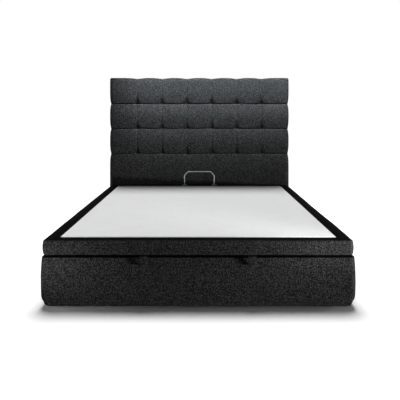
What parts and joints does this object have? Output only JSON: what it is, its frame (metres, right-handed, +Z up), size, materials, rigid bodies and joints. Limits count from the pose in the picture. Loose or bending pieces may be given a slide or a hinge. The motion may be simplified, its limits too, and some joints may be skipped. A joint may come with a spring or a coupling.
{
  "type": "ottoman bed",
  "caption": "Upholstered ottoman bed: padded storage base, lid with a pale knitted top that lifts at the foot end on two four-bar hinges with gas struts, and a tufted headboard",
  "frame": {"origin": "Middle of the whole bed seen from above, on the floor", "axes": "+X to the right seen from the foot end, +Y towards the headboard, +Z up"},
  "size_m": [1.529, 2.0336, 1.233],
  "materials": {
    "upholstery_fabric": "woven, matt",
    "knit_top": "open spacer knit, matt",
    "chipboard": "raw particle board",
    "hardboard": "smooth one face",
    "pine": "planed",
    "frame_steel": "black powder coat",
    "zinc_steel": "zinc plated",
    "retainer_wire": "grey powder coat",
    "strut_tube": "black enamel",
    "strut_rod": "polished",
    "glide_plastic": "moulded",
    "back_lining": "thin non-woven cloth"
  },
  "bodies": {
    "base": {"base_front_board": "chipboard", "base_rear_board": "chipboard", "base_side_board_left": "chipboard", "base_side_board_right": "chipboard", "base_front_cover": "upholstery_fabric", "base_rear_cover": "upholstery_fabric", "base_side_cover_left": "upholstery_fabric", "base_side_cover_right": "upholstery_fabric", "corner_bracket_front_left": "zinc_steel", "corner_bracket_front_right": "zinc_steel", "corner_bracket_rear_left": "zinc_steel", "corner_bracket_rear_right": "zinc_steel", "floor_ledge_left": "pine", "floor_ledge_right": "pine", "floor_centre_rail": "pine", "floor_panel_left": "hardboard", "floor_panel_right": "hardboard", "glide_front_left": "glide_plastic", "glide_front_right": "glide_plastic", "glide_rear_left": "glide_plastic", "glide_rear_right": "glide_plastic", "glide_centre_front": "glide_plastic", "glide_centre_rear": "glide_plastic", "base_bracket_left": "zinc_steel", "base_bracket_right": "zinc_steel", "headboard_pad": "upholstery_fabric", "headboard_board": "chipboard", "headboard_back_lining": "back_lining", "headboard_leg_left": "pine", "headboard_leg_right": "pine", "headboard_bolt_low_left": "zinc_steel", "headboard_bolt_low_right": "zinc_steel", "headboard_bolt_high_left": "zinc_steel", "headboard_bolt_high_right": "zinc_steel"},
    "lid": {"lid_side_rail_left": "frame_steel", "lid_side_rail_right": "frame_steel", "lid_head_rail": "frame_steel", "lid_foot_rail": "frame_steel", "lid_cross_bar_front": "frame_steel", "lid_cross_bar_rear": "frame_steel", "lid_board": "chipboard", "lid_top_pad": "knit_top", "lid_band_front": "upholstery_fabric", "lid_band_rear": "upholstery_fabric", "lid_band_left": "upholstery_fabric", "lid_band_right": "upholstery_fabric", "pull_tab_left": "upholstery_fabric", "pull_tab_right": "upholstery_fabric", "mattress_retainer": "retainer_wire", "lid_bracket_left": "zinc_steel", "lid_bracket_right": "zinc_steel"},
    "lift_arm_left": {"lift_arm_left": "zinc_steel"},
    "control_arm_left": {"control_arm_left": "zinc_steel"},
    "gas_strut_rod_left": {"gas_strut_rod_left": "strut_rod"},
    "gas_strut_cylinder_left": {"gas_strut_cylinder_left": "strut_tube"},
    "lift_arm_right": {"lift_arm_right": "zinc_steel"},
    "control_arm_right": {"control_arm_right": "zinc_steel"},
    "gas_strut_rod_right": {"gas_strut_rod_right": "strut_rod"},
    "gas_strut_cylinder_right": {"gas_strut_cylinder_right": "strut_tube"}
  },
  "joints": [
    {"name": "lid_lift", "type": "hinge", "parent": "lift_arm_left", "child": "lid", "pos_m": [-0.7097, 0.66115, 0.2321], "axis": [-1, 0, 0], "range_deg": [0, 83]},
    {"name": "lift_arm_left_turn", "type": "hinge", "parent": "base", "child": "lift_arm_left", "pos_m": [-0.7097, 0.42955, 0.182], "axis": [1, 0, 0], "range_deg": [0, 47]},
    {"name": "control_arm_left_turn", "type": "hinge", "parent": "base", "child": "control_arm_left", "pos_m": [-0.7042, 0.10435, 0.115], "axis": [1, 0, 0], "range_deg": [0, 29.69]},
    {"name": "gas_strut_left_turn", "type": "hinge", "parent": "base", "child": "gas_strut_rod_left", "pos_m": [-0.68605, 0.58575, 0.0646], "axis": [1, 0, 0], "range_deg": [0, 39.91]},
    {"name": "gas_strut_left_stroke", "type": "slide", "parent": "gas_strut_rod_left", "child": "gas_strut_cylinder_left", "axis": [0, 0.6023, 0.7983], "range_m": [0, 0.0951]},
    {"name": "lift_arm_right_turn", "type": "hinge", "parent": "base", "child": "lift_arm_right", "pos_m": [0.7097, 0.42955, 0.182], "axis": [1, 0, 0], "range_deg": [0, 47]},
    {"name": "control_arm_right_turn", "type": "hinge", "parent": "base", "child": "control_arm_right", "pos_m": [0.7042, 0.10435, 0.115], "axis": [1, 0, 0], "range_deg": [0, 29.69]},
    {"name": "gas_strut_right_turn", "type": "hinge", "parent": "base", "child": "gas_strut_rod_right", "pos_m": [0.68605, 0.58575, 0.0646], "axis": [1, 0, 0], "range_deg": [0, 39.91]},
    {"name": "gas_strut_right_stroke", "type": "slide", "parent": "gas_strut_rod_right", "child": "gas_strut_cylinder_right", "axis": [0, 0.6023, 0.7983], "range_m": [0, 0.0951]}
  ],
  "couplings": [
    {"joint": "lift_arm_left_turn", "follows": "lid_lift", "ratio": 0.56626},
    {"joint": "control_arm_left_turn", "follows": "lid_lift", "ratio": 0.35766},
    {"joint": "gas_strut_left_turn", "follows": "lid_lift", "ratio": 0.48072},
    {"joint": "gas_strut_left_stroke", "follows": "lid_lift", "m_per_rad": 0.065579},
    {"joint": "lift_arm_right_turn", "follows": "lid_lift", "ratio": 0.56626},
    {"joint": "control_arm_right_turn", "follows": "lid_lift", "ratio": 0.35766},
    {"joint": "gas_strut_right_turn", "follows": "lid_lift", "ratio": 0.48072},
    {"joint": "gas_strut_right_stroke", "follows": "lid_lift", "m_per_rad": 0.065579}
  ]
}
